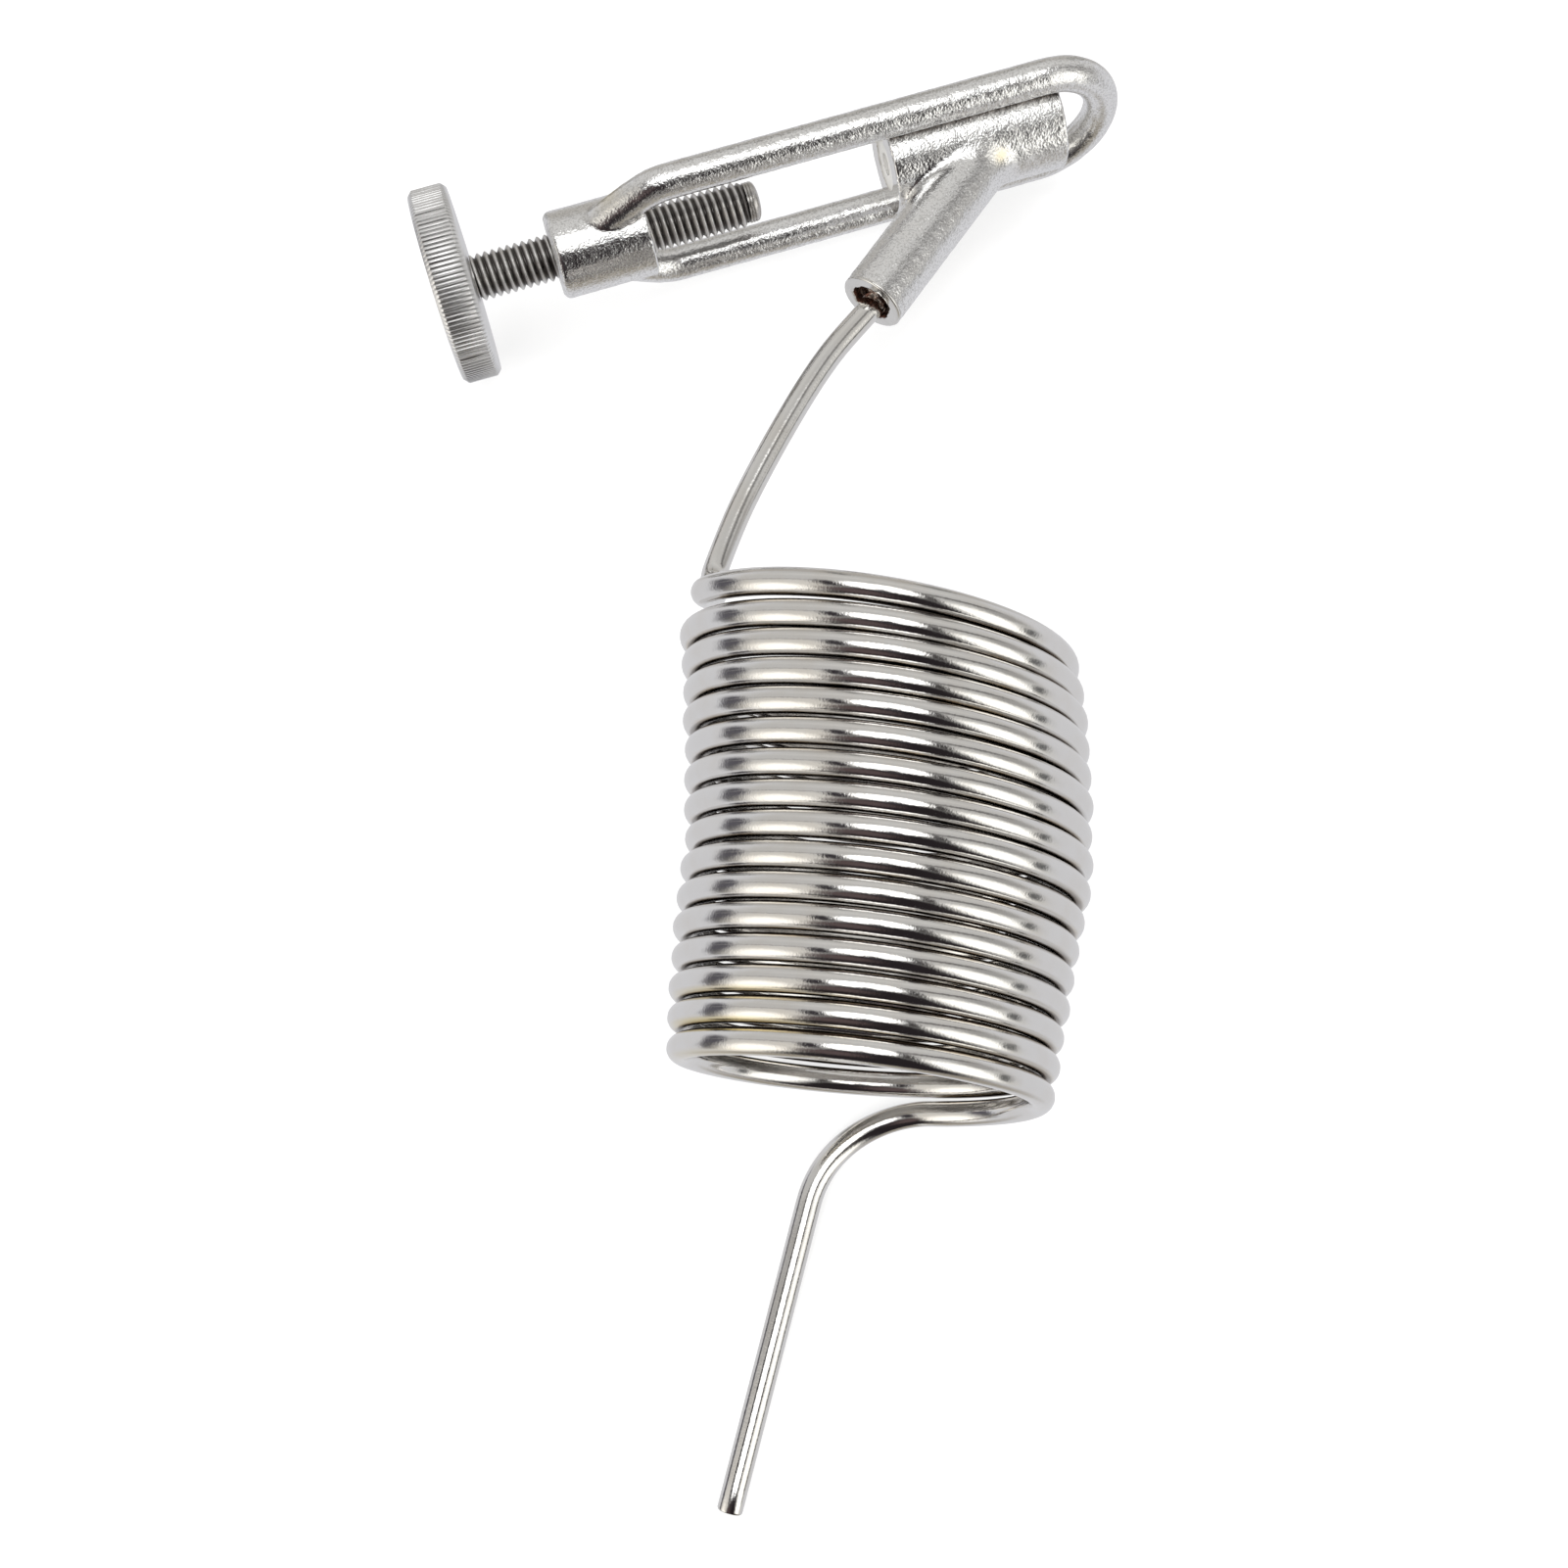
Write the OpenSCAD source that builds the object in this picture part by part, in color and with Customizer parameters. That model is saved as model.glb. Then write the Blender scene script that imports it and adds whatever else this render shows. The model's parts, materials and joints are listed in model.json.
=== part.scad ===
// Coiled tube on a screw yoke.
// A cast yoke clamps a valve between its screw and its ported seat; a thin plated tube is
// brazed into the yoke's side branch, winds into a close coil and ends in a straight leg.
// The part lies on its side: +X runs along the clamp screw from hand wheel to loop,
// +Z is up, the coil and its straight leg run towards -Y. Millimetres.

/* [Yoke] */
// Length of the threaded collar
collar_len = 20.2; // [16:0.1:22]
// Outer diameter of the collar
collar_d = 17.8; // [16:0.1:19]
// Diameter of the yoke's round rods
rod_d = 7.1; // [6:0.1:7.4]
// Distance between the centre lines of the two rods
rod_spacing = 27.2; // [26.8:0.1:27.6]
// Collar's outer face to the seat face
seat_at = 71.4; // [66:0.1:74]
// Outer diameter of the seat barrel
barrel_d = 20.6; // [20.4:0.1:21.4]
// Length of the seat barrel
barrel_len = 36.6; // [34:0.1:38]
// Collar's outer face to the centre of the loop's end bend
bend_at = 104.9; // [102:0.1:106]
// Outer diameter of the side branch
branch_d = 13.4; // [12:0.1:14]
// Angle of the side branch to the screw axis
branch_angle = 39.4; // [36:0.1:44]
// Length of the side branch from the screw axis
branch_len = 49.3; // [46:0.1:52]

/* [Clamp screw] */
// Major diameter of the screw thread
screw_d = 9.525; // [9.5:0.005:9.53]
// Pitch of the screw thread
thread_pitch = 1.5875; // [1.2:0.0005:1.8]
// Collar's outer face to the end of the swivel tip
screw_reach = 44.1; // [30:0.1:60]
// Diameter of the hand wheel
wheel_d = 39.6; // [36:0.1:42]
// Thickness of the hand wheel
wheel_t = 8; // [7:0.1:9]
// Free screw between the wheel and the collar
wheel_gap = 16.9; // [10:0.1:24]

/* [Tube] */
// Outer diameter of the tube
tube_d = 5; // [4.9:0.01:5.1]
// Inner diameter of the tube
tube_bore = 3.2; // [2.8:0.1:3.4]
// Mean radius of the middle turns of the coil
coil_r = 35.3; // [34.5:0.1:36]
// Mean distance from turn to turn
coil_pitch = 5.41; // [5.3:0.01:5.6]
// Turns from the first left point to the last right point
coil_turns = 15.5; // [14.5:1:16.5]

/* [Hidden] */
$fn = 96;

// Where the yoke lies: middle of the collar's outer face, and its roll about the screw axis
yoke_at = [-41.9, 115.8, wheel_d / 2];
yoke_roll = 10.5;

// Yoke details
rod_r = rod_d / 2;
loop_r = rod_spacing / 2;
collar_r = collar_d / 2;
barrel_r = barrel_d / 2;
barrel_end = seat_at + barrel_len;
neck_at = 25.2;          // where the rods start to bend in towards the collar
neck_step = 5.2;         // length of the bend's middle bar
neck_angle = 28;         // how far the rods bend in
neck_len = 13.4;         // the bar that runs into the collar
elbow_swell = 0.05;      // the elbows stand this far proud of the bars
edge_chamfer = 0.8;
thread_clear = 0.07;     // radial play of the screw in the collar
port_d = 4.8;            // gas passage from the seat
branch_port_d = 3.6;     // gas passage along the branch
branch_meet = seat_at + 25.5;
socket_d = 8.3;
socket_depth = 10;
braze_len = 8.4;
tube_sink = 1.5;         // the tube sits this far below the socket's axis
washer_d = 11;
washer_t = 1.3;
washer_recess = 1.6;

// Screw details
screw_r = screw_d / 2;
thread_depth = 0.6 * thread_pitch;
wheel_face = -wheel_gap;             // the wheel's face towards the collar
wheel_back = wheel_face - wheel_t;
spigot_d = 7.2;                      // end of the screw inside the wheel
tip_len = 2.8;
tip_d = 8.2;
tip_gap = 0.15;
tip_stem_d = 4;
tip_stem_len = 7;
tip_stem_clear = 0.04;
screw_end = screw_reach - tip_len - tip_gap;
pin_d = 2;
pin_len = 6;

// Coil placement: middle of the coil, directions in degrees in the horizontal plane
coil_mid = [-18.1, -23.6];
turn_dir = -23.7;        // direction of a turn's long diameter at mid-coil
turn_twist = 1.3;        // change of that direction from mid-coil to either end
stack_dir = -18.9;       // the stack of turns runs this far round from -Y
coil_bow = 3.2;          // sideways bow of the stack at its middle
coil_sway = 2.3;         // S-shaped sideways drift of the stack
coil_taper = [1.2, 1.1]; // loss of radius: first part steady, second towards both ends
tilt_mid = 2.6;          // lean of the turns' planes at mid-coil
tilt_rate = 0.36;        // extra lean with each turn
tube_r = tube_d / 2;
sides = 8;
ring_step = 15;          // degrees of turn between the tube's cross-sections
enter_angle = 30;        // the coil starts this far past the first turn's left point
leave_angle = 62;        // and goes on this far past the last turn's right point

// Straight outlet leg on the ground
leg_from = [-46.7, -82.3, tube_r];
leg_to = [-78.1, -133.5, tube_r];
leg_chamfer = 0.5;
bend_pull = [9, 13];     // how far the outlet bend runs on at its two ends

// Route of the inlet leg from the socket to its upward curl into the first turn
inlet_route = [[4.9, 76.3, 25.2], [-7.8, 64.6, 25.9], [-20.4, 51.2, 26.6], [-29.2, 39.6, 27.8],
               [-31, 34.8, 31.6], [-31.7, 31.6, 38.5]];

// ---------- helpers ----------
function unit(v) = v / norm(v);
function flat(a) = [cos(a), sin(a), 0];

// Cross-sections follow the path without twisting, and its end faces have given directions
function tangent(p, ends, i) =
    i == 0 ? ends[0] : i == len(p) - 1 ? ends[1] : unit(p[i + 1] - p[i - 1]);
function carry(v, t) = unit(v - (v * t) * t);
function side_vectors(p, ends, first) =
    [for (i = 0, v = carry(first, ends[0]); i < len(p);
          i = i + 1, v = i < len(p) ? carry(v, tangent(p, ends, i)) : v) v];

module swept_tube(p, ends, r, first) {
    sv = side_vectors(p, ends, first);
    n = len(p);
    pts = [for (i = [0:n - 1], k = [0:sides - 1])
        let (t = tangent(p, ends, i), a = 360 * k / sides)
        p[i] + r * (cos(a) * sv[i] + sin(a) * cross(t, sv[i]))];
    walls = [for (i = [0:n - 2], k = [0:sides - 1])
        let (a = i * sides + k, b = i * sides + (k + 1) % sides)
        each [[a, a + sides, b + sides], [a, b + sides, b]]];
    ends = [[for (k = [0:sides - 1]) k], [for (k = [sides - 1:-1:0]) (n - 1) * sides + k]];
    polyhedron(pts, concat(walls, ends));
}

// Smooth curve through points, with given directions at both ends
function hermite(a, b, ta, tb, s) =
    (2 * s ^ 3 - 3 * s ^ 2 + 1) * a + (s ^ 3 - 2 * s ^ 2 + s) * ta
    + (3 * s ^ 2 - 2 * s ^ 3) * b + (s ^ 3 - s ^ 2) * tb;

// ---------- coil ----------
function coil_point(a) =
    let (u = a / 360 - coil_turns / 2,
         w = u / (coil_turns / 2),
         dir = turn_dir + turn_twist * w,
         across = flat(dir),
         along = [sin(dir), -cos(dir), 0],
         r = coil_r - coil_taper[0] * w - coil_taper[1] * w ^ 2,
         tilt = tilt_mid + tilt_rate * u,
         rise = [0, 0, cos(tilt)] - sin(tilt) * along,
         mid = [coil_mid[0], coil_mid[1], r * cos(tilt) + tube_r]
             + u * coil_pitch * [sin(stack_dir), -cos(stack_dir), 0]
             + (coil_bow * (1 - w ^ 2) + coil_sway * (w ^ 3 - w)) * flat(turn_dir))
    mid + r * (sin(a) * rise - cos(a) * across);

coil_end_angle = 360 * coil_turns + leave_angle;
coil_start = coil_point(enter_angle);
coil_end = coil_point(coil_end_angle);
coil_start_dir = unit(coil_point(enter_angle + 1) - coil_point(enter_angle - 1));
coil_end_dir = unit(coil_end - coil_point(coil_end_angle - 1));
leg_dir = unit(leg_to - leg_from);

coil_path = concat(
    [for (a = [enter_angle:ring_step:coil_end_angle - ring_step / 2]) coil_point(a)],
    [for (i = [0:8]) hermite(coil_end, leg_from, 3 * bend_pull[0] * coil_end_dir,
                             3 * bend_pull[1] * leg_dir, i / 8)]);

// ---------- yoke frame ----------
module in_yoke() {
    translate(yoke_at) rotate([-yoke_roll, 0, 0]) children();
}

function yoke_turn(v) =
    [v[0], v[1] * cos(yoke_roll) + v[2] * sin(yoke_roll),
     v[2] * cos(yoke_roll) - v[1] * sin(yoke_roll)];

// A bar along the yoke's length
module along_x(from, to, r) {
    translate([from, 0, 0]) rotate([0, 90, 0]) cylinder(h = to - from, r = r);
}

// Places something drawn along +Z at the branch's root, pointing out of the branch
module in_branch() {
    translate([branch_meet, 0, 0]) rotate([0, 0, branch_angle]) rotate([0, -90, 0]) children();
}

branch_dir = yoke_turn([-cos(branch_angle), -sin(branch_angle), 0]);
branch_root = yoke_at + [branch_meet, 0, 0];
socket_mouth = branch_root + branch_len * branch_dir;
tube_offset = yoke_turn([0, 0, -tube_sink]);
inlet_start = socket_mouth - socket_depth * branch_dir + tube_offset;
inlet_exit = socket_mouth + 2 * branch_dir + tube_offset;

// ---------- inlet leg ----------
inlet_knots = concat([inlet_start, inlet_exit], inlet_route, [coil_start]);

function knot_pull(k, i) =
    i == 0 ? k[1] - k[0]
    : i == len(k) - 1 ? norm(k[i] - k[i - 1]) * coil_start_dir
    : (k[i + 1] - k[i - 1]) * norm(k[i + 1] - k[i]) / (norm(k[i + 1] - k[i]) + norm(k[i] - k[i - 1]));

inlet_path = concat(
    [for (i = [0:len(inlet_knots) - 2], s = [0:0.25:0.99])
        hermite(inlet_knots[i], inlet_knots[i + 1], knot_pull(inlet_knots, i),
                knot_pull(inlet_knots, i + 1), s)],
    [coil_start]);

// ---------- sub-parts ----------
// A rod ends in two short bars that lean in towards the collar, with round elbows between
module bent_rod() {
    elbow_1 = [neck_at, loop_r];
    elbow_2 = elbow_1 - neck_step * [cos(neck_angle / 2), sin(neck_angle / 2)];
    translate([neck_at, 0, loop_r]) rotate([0, 90, 0]) cylinder(h = bend_at - neck_at, r = rod_r);
    neck_bar(elbow_1, neck_step, neck_angle / 2);
    neck_bar(elbow_2, neck_len, neck_angle);
}

module neck_bar(from, len, lean) {
    translate([from[0], 0, from[1]]) sphere(r = rod_r + elbow_swell);
    translate([from[0], 0, from[1]]) rotate([0, -90 - lean, 0]) cylinder(h = len, r = rod_r);
}

module yoke_body() {
    color([0.78, 0.77, 0.75])
    in_yoke()
    difference() {
        union() {
            rotate([0, 90, 0]) {
                cylinder(h = edge_chamfer, r1 = collar_r - edge_chamfer, r2 = collar_r);
                translate([0, 0, edge_chamfer]) cylinder(h = collar_len - edge_chamfer, r = collar_r);
            }
            for (turn = [0, 180]) rotate([turn, 0, 0]) bent_rod();
            translate([bend_at, 0, 0]) rotate([90, 0, 0]) rotate([0, 0, -90])
                rotate_extrude(angle = 180) translate([loop_r, 0]) circle(r = rod_r);
            along_x(seat_at, barrel_end, barrel_r);
            in_branch() cylinder(h = branch_len, r = branch_d / 2);
        }
        // threaded hole of the collar, gas port, washer recess, branch passage and socket
        along_x(-1, collar_len + 1, screw_r + thread_clear);
        along_x(seat_at - 1, branch_meet, port_d / 2);
        along_x(seat_at - 1, seat_at + washer_recess, washer_d / 2);
        in_branch() cylinder(h = branch_len, r = branch_port_d / 2);
        in_branch() translate([0, 0, branch_len - socket_depth])
            cylinder(h = socket_depth + 1, r = socket_d / 2);
    }
}

module clamp_screw() {
    thread_from = wheel_face + 0.5;
    turns = floor((screw_end - 1.5 - thread_from) / thread_pitch);
    root_r = screw_r - thread_depth;
    color([0.42, 0.4, 0.38])
    in_yoke()
    difference() {
        rotate([0, 90, 0]) rotate_extrude()
            polygon(concat(
                [[0, wheel_back + 0.4], [spigot_d / 2, wheel_back + 0.4], [spigot_d / 2, wheel_face],
                 [screw_r, wheel_face]],
                [for (i = [0:turns - 1], k = [0:2])
                    [k == 1 ? root_r : screw_r - 0.02, thread_from + (i + k * 0.48) * thread_pitch]],
                [[root_r, screw_end], [0, screw_end]]));
        along_x(screw_end - tip_stem_len - 0.5, screw_end + 1, tip_stem_d / 2 + tip_stem_clear);
        wheel_pin_hole();
    }
}

module swivel_tip() {
    head = screw_reach - tip_len;
    color([0.66, 0.65, 0.63])
    in_yoke()
    rotate([0, 90, 0]) rotate_extrude()
        polygon([[0, head - tip_stem_len], [tip_stem_d / 2, head - tip_stem_len],
                 [tip_stem_d / 2, head], [tip_d / 2, head], [tip_d / 2, head + 0.8],
                 [tip_d / 2 - 0.5, head + 1.7], [tip_d / 2 - 1.5, head + 2.45], [0, head + tip_len]]);
}

module wheel_pin_hole() {
    translate([wheel_back - 0.01, 0, spigot_d / 2]) rotate([0, 90, 0])
        cylinder(h = pin_len + 0.01, r = pin_d / 2);
}

module hand_wheel() {
    r = wheel_d / 2;
    bevel = 0.9;
    color([0.7, 0.69, 0.67])
    in_yoke()
    difference() {
        rotate([0, 90, 0]) rotate_extrude()
            polygon([[spigot_d / 2, wheel_back], [r - bevel, wheel_back], [r, wheel_back + bevel],
                     [r, wheel_face - bevel], [r - bevel, wheel_face], [spigot_d / 2, wheel_face]]);
        wheel_pin_hole();
    }
}

module wheel_pin() {
    color([0.5, 0.48, 0.45])
    in_yoke()
    translate([wheel_back + 0.2, 0, spigot_d / 2]) rotate([0, 90, 0])
        cylinder(h = pin_len - 0.2, r = pin_d / 2);
}

module seat_washer() {
    color([0.9, 0.89, 0.85])
    in_yoke()
    difference() {
        along_x(seat_at + washer_recess - washer_t, seat_at + washer_recess, washer_d / 2);
        along_x(seat_at - 1, seat_at + washer_recess + 1, port_d / 2);
    }
}

// Filler metal between the socket and the tube
module braze_ring() {
    color([0.42, 0.26, 0.18])
    in_yoke()
    in_branch()
    difference() {
        translate([0, 0, branch_len - socket_depth]) cylinder(h = braze_len, r = socket_d / 2);
        translate([-tube_sink, 0, branch_len - socket_depth - 1])
            cylinder(h = socket_depth + 2, r = tube_r);
    }
}

module inlet_leg() {
    color([0.8, 0.79, 0.77])
        swept_tube(inlet_path, [branch_dir, coil_start_dir], tube_r, [0.85, -0.5, 0]);
}

module coil() {
    color([0.8, 0.79, 0.77])
        swept_tube(coil_path, [coil_start_dir, leg_dir], tube_r, [sin(turn_dir), -cos(turn_dir), 0]);
}

module outlet_leg() {
    length = norm(leg_to - leg_from);
    heading = atan2(leg_dir[1], leg_dir[0]);
    color([0.8, 0.79, 0.77])
    translate(leg_from) rotate([0, 90, heading])
    difference() {
        union() {
            cylinder(h = length - leg_chamfer, r = tube_r);
            translate([0, 0, length - leg_chamfer])
                cylinder(h = leg_chamfer, r1 = tube_r, r2 = tube_r - leg_chamfer);
        }
        translate([0, 0, -1]) cylinder(h = length + 2, r = tube_bore / 2);
    }
}

yoke_body();
clamp_screw();
swivel_tip();
hand_wheel();
wheel_pin();
seat_washer();
braze_ring();
inlet_leg();
coil();
outlet_leg();
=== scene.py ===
import json
import math

import bpy
import mathutils
import numpy as np
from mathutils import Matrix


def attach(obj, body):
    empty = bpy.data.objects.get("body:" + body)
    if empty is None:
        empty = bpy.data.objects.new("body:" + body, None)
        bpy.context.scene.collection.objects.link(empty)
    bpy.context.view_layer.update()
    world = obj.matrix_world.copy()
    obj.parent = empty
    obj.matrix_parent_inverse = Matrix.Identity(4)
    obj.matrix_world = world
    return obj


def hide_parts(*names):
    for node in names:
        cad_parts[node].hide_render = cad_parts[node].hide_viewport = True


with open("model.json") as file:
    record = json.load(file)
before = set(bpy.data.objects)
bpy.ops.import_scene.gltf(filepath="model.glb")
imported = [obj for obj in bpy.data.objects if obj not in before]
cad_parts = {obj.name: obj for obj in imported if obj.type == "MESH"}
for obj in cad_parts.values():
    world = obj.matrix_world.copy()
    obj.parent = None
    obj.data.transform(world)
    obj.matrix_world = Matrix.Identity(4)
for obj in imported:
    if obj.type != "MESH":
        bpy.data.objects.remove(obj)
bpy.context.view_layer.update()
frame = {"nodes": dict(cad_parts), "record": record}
RECORD = frame["record"]
MM = 0.001
RNG = np.random.default_rng(11)


# ---------------------------------------------------------------- geometry helpers
def unit(v):
    return v / np.linalg.norm(v, axis=-1, keepdims=True)


def add_mesh(name, points_mm, faces, materials, body, replaced=(), face_slots=None, smooth=True):
    """A new piece from points in millimetres, in the row frame."""
    mesh = bpy.data.meshes.new(name)
    points = np.asarray(points_mm, dtype=float) * MM
    mesh.from_pydata(points.tolist(), [], [tuple(int(i) for i in f) for f in faces])
    for material in materials:
        mesh.materials.append(material)
    if face_slots is not None:
        mesh.polygons.foreach_set("material_index", np.asarray(face_slots, dtype=np.int32))
    mesh.polygons.foreach_set("use_smooth", np.full(len(mesh.polygons), smooth))
    mesh.update()
    piece = bpy.data.objects.new(name, mesh)
    bpy.context.scene.collection.objects.link(piece)
    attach(piece, body)
    if replaced:
        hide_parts(*replaced)
    return piece


def point_attribute(piece, name, values):
    layer = piece.data.attributes.new(name, "FLOAT", "POINT")
    layer.data.foreach_set("value", np.asarray(values, dtype=np.float32))


def sharpen(piece, degrees):
    """Edges sharper than the angle stay crisp under smooth shading."""
    piece.data.set_sharp_from_angle(angle=math.radians(degrees))


# ---------------------------------------------------------------- yoke frame
SPIN = next(j for j in RECORD["behaviour"]["joints"] if j["name"] == "wheel_spin")
YOKE_AT = np.array(SPIN["pos_m"]) / MM
ROLL = math.radians(10.5)


def from_yoke(p):
    """Yoke coordinates (x along the screw, z across the loop) to the row frame."""
    p = np.asarray(p, dtype=float)
    c, s = math.cos(ROLL), math.sin(ROLL)
    return YOKE_AT + np.stack([p[..., 0], p[..., 1] * c + p[..., 2] * s, p[..., 2] * c - p[..., 1] * s], -1)


def yoke_direction(v):
    return from_yoke(v) - YOKE_AT


COLLAR_LEN, COLLAR_R = 20.2, 8.9
ROD_R, LOOP_R = 3.55, 13.6
SEAT_AT, BARREL_R, BARREL_END = 71.4, 10.3, 108.0
BEND_AT = 104.9
BRANCH_R, BRANCH_LEN, BRANCH_ANGLE = 6.7, 49.3, math.radians(39.4)
BRANCH_MEET = 96.9
BRANCH_OUT = np.array([-math.cos(BRANCH_ANGLE), -math.sin(BRANCH_ANGLE), 0.0])
BORE_R = 4.8325
SOCKET_R, SOCKET_DEPTH = 4.15, 10.0
MOUTH_LEN = 2.0
WASHER_R, WASHER_RECESS, PORT_R, BRANCH_PORT_R = 5.5, 1.6, 2.4, 1.8


# ---------------------------------------------------------------- solid from a distance field
def smooth_min(a, b, k):
    h = np.maximum(k - np.abs(a - b), 0) / k
    return np.minimum(a, b) - h * h * k / 4


def capped(along, radial, a, b, r, rounding=0.0):
    """A cylinder from a to b along its axis, its rims rounded."""
    dx = np.maximum(a + rounding - along, along - b + rounding)
    dr = radial - r + rounding
    outside = np.hypot(np.maximum(dx, 0), np.maximum(dr, 0))
    return outside + np.minimum(np.maximum(dx, dr), 0) - rounding


def capsule(p, a, b, r):
    a, b = np.array(a), np.array(b)
    ab = b - a
    t = np.clip(((p - a) @ ab) / (ab @ ab), 0, 1)
    return np.linalg.norm(p - a - t[:, None] * ab, axis=1) - r


WAVES = [(unit(RNG.normal(size=3)) * 2 * math.pi / RNG.uniform(1.5, 6.0), RNG.uniform(0, 6.28))
         for _ in range(16)]
WAVE_HEIGHT = 0.09
# Bezier points (x, z) of a rod's run into the collar
NECK = [(26.5, 13.6), (21.5, 13.6), (19.0, 11.4), (9.2, 5.2)]
COLLAR_ROUNDING, COLLAR_CHAMFER, BARREL_CHAMFER = 1.6, 0.35, 0.3
ROD_FILLET, BARREL_FILLET, BRANCH_FILLET = 0.5, 0.25, 1.8


def waviness(p):
    total = 0
    for direction, phase in WAVES:
        total = total + np.sin(p @ direction + phase)
    return total / len(WAVES)


def neck_line():
    t = np.linspace(0, 1, 12)[:, None]
    p0, p1, p2, p3 = (np.array(p) for p in NECK)
    return (1 - t) ** 3 * p0 + 3 * (1 - t) ** 2 * t * p1 + 3 * (1 - t) * t ** 2 * p2 + t ** 3 * p3


def yoke_field(p):
    x, y, z = p[:, 0], p[:, 1], p[:, 2]
    up = np.abs(z)
    radial = np.hypot(y, z)
    straight = np.hypot(y, up - LOOP_R)
    bend = np.hypot(y, np.hypot(x - BEND_AT, z) - LOOP_R)
    neck_at = NECK[0][0]
    before_bend = np.where(x > neck_at, straight, np.hypot(straight, neck_at - x))
    rods = np.where(x > BEND_AT, bend, before_bend) - ROD_R
    near = x < neck_at + 4
    folded = np.stack([x, y, up], -1)[near]
    neck = neck_line()
    for a, b in zip(neck[:-1], neck[1:]):
        rods[near] = np.minimum(rods[near], capsule(folded, (a[0], 0, a[1]), (b[0], 0, b[1]), ROD_R))
    collar = np.maximum(capped(x, radial, 0, COLLAR_LEN + 5, COLLAR_R, COLLAR_ROUNDING), x - COLLAR_LEN)
    collar = np.maximum(collar, (x - COLLAR_LEN + radial - COLLAR_R + COLLAR_CHAMFER) * 0.7071)
    barrel = capped(x, radial, SEAT_AT, BARREL_END, BARREL_R)
    barrel = np.maximum(barrel, (SEAT_AT - x + radial - BARREL_R + BARREL_CHAMFER) * 0.7071)
    barrel = np.maximum(barrel, (x - BARREL_END + radial - BARREL_R + BARREL_CHAMFER) * 0.7071)
    q = p - np.array([BRANCH_MEET, 0, 0])
    along = q @ BRANCH_OUT
    around = np.linalg.norm(q - along[:, None] * BRANCH_OUT, axis=1)
    branch = capped(along, around, 0, BRANCH_LEN - MOUTH_LEN, BRANCH_R)
    body = smooth_min(smooth_min(rods, collar, ROD_FILLET), barrel, BARREL_FILLET)
    body = smooth_min(body, branch, BRANCH_FILLET)
    body = body + WAVE_HEIGHT * waviness(p)
    # machined ends stay flat
    body = np.maximum(body, -x)
    at_seat = (np.abs(x - SEAT_AT) < 4) & (radial < 9.5)
    body = np.where(at_seat, np.maximum(body, SEAT_AT - x), body)
    cuts = [
        capped(x, radial, -5, COLLAR_LEN + 8, BORE_R),
        capped(x, radial, SEAT_AT - 2, SEAT_AT + WASHER_RECESS, WASHER_R),
        capped(x, radial, SEAT_AT - 2, BRANCH_MEET, PORT_R),
        capped(along, around, 0, BRANCH_LEN + 2, BRANCH_PORT_R),
        capped(along, around, BRANCH_LEN - SOCKET_DEPTH, BRANCH_LEN + 2, SOCKET_R + 0.6),
        # countersunk lead-in of the thread
        np.maximum(radial - BORE_R - 0.7 + x, x - 0.7),
    ]
    for cut in cuts:
        body = np.maximum(body, -cut)
    return body


def gradient(field, p, step=0.02):
    base = [field(p + step * axis) - field(p - step * axis) for axis in np.eye(3)]
    return np.stack(base, -1) / (2 * step)


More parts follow.
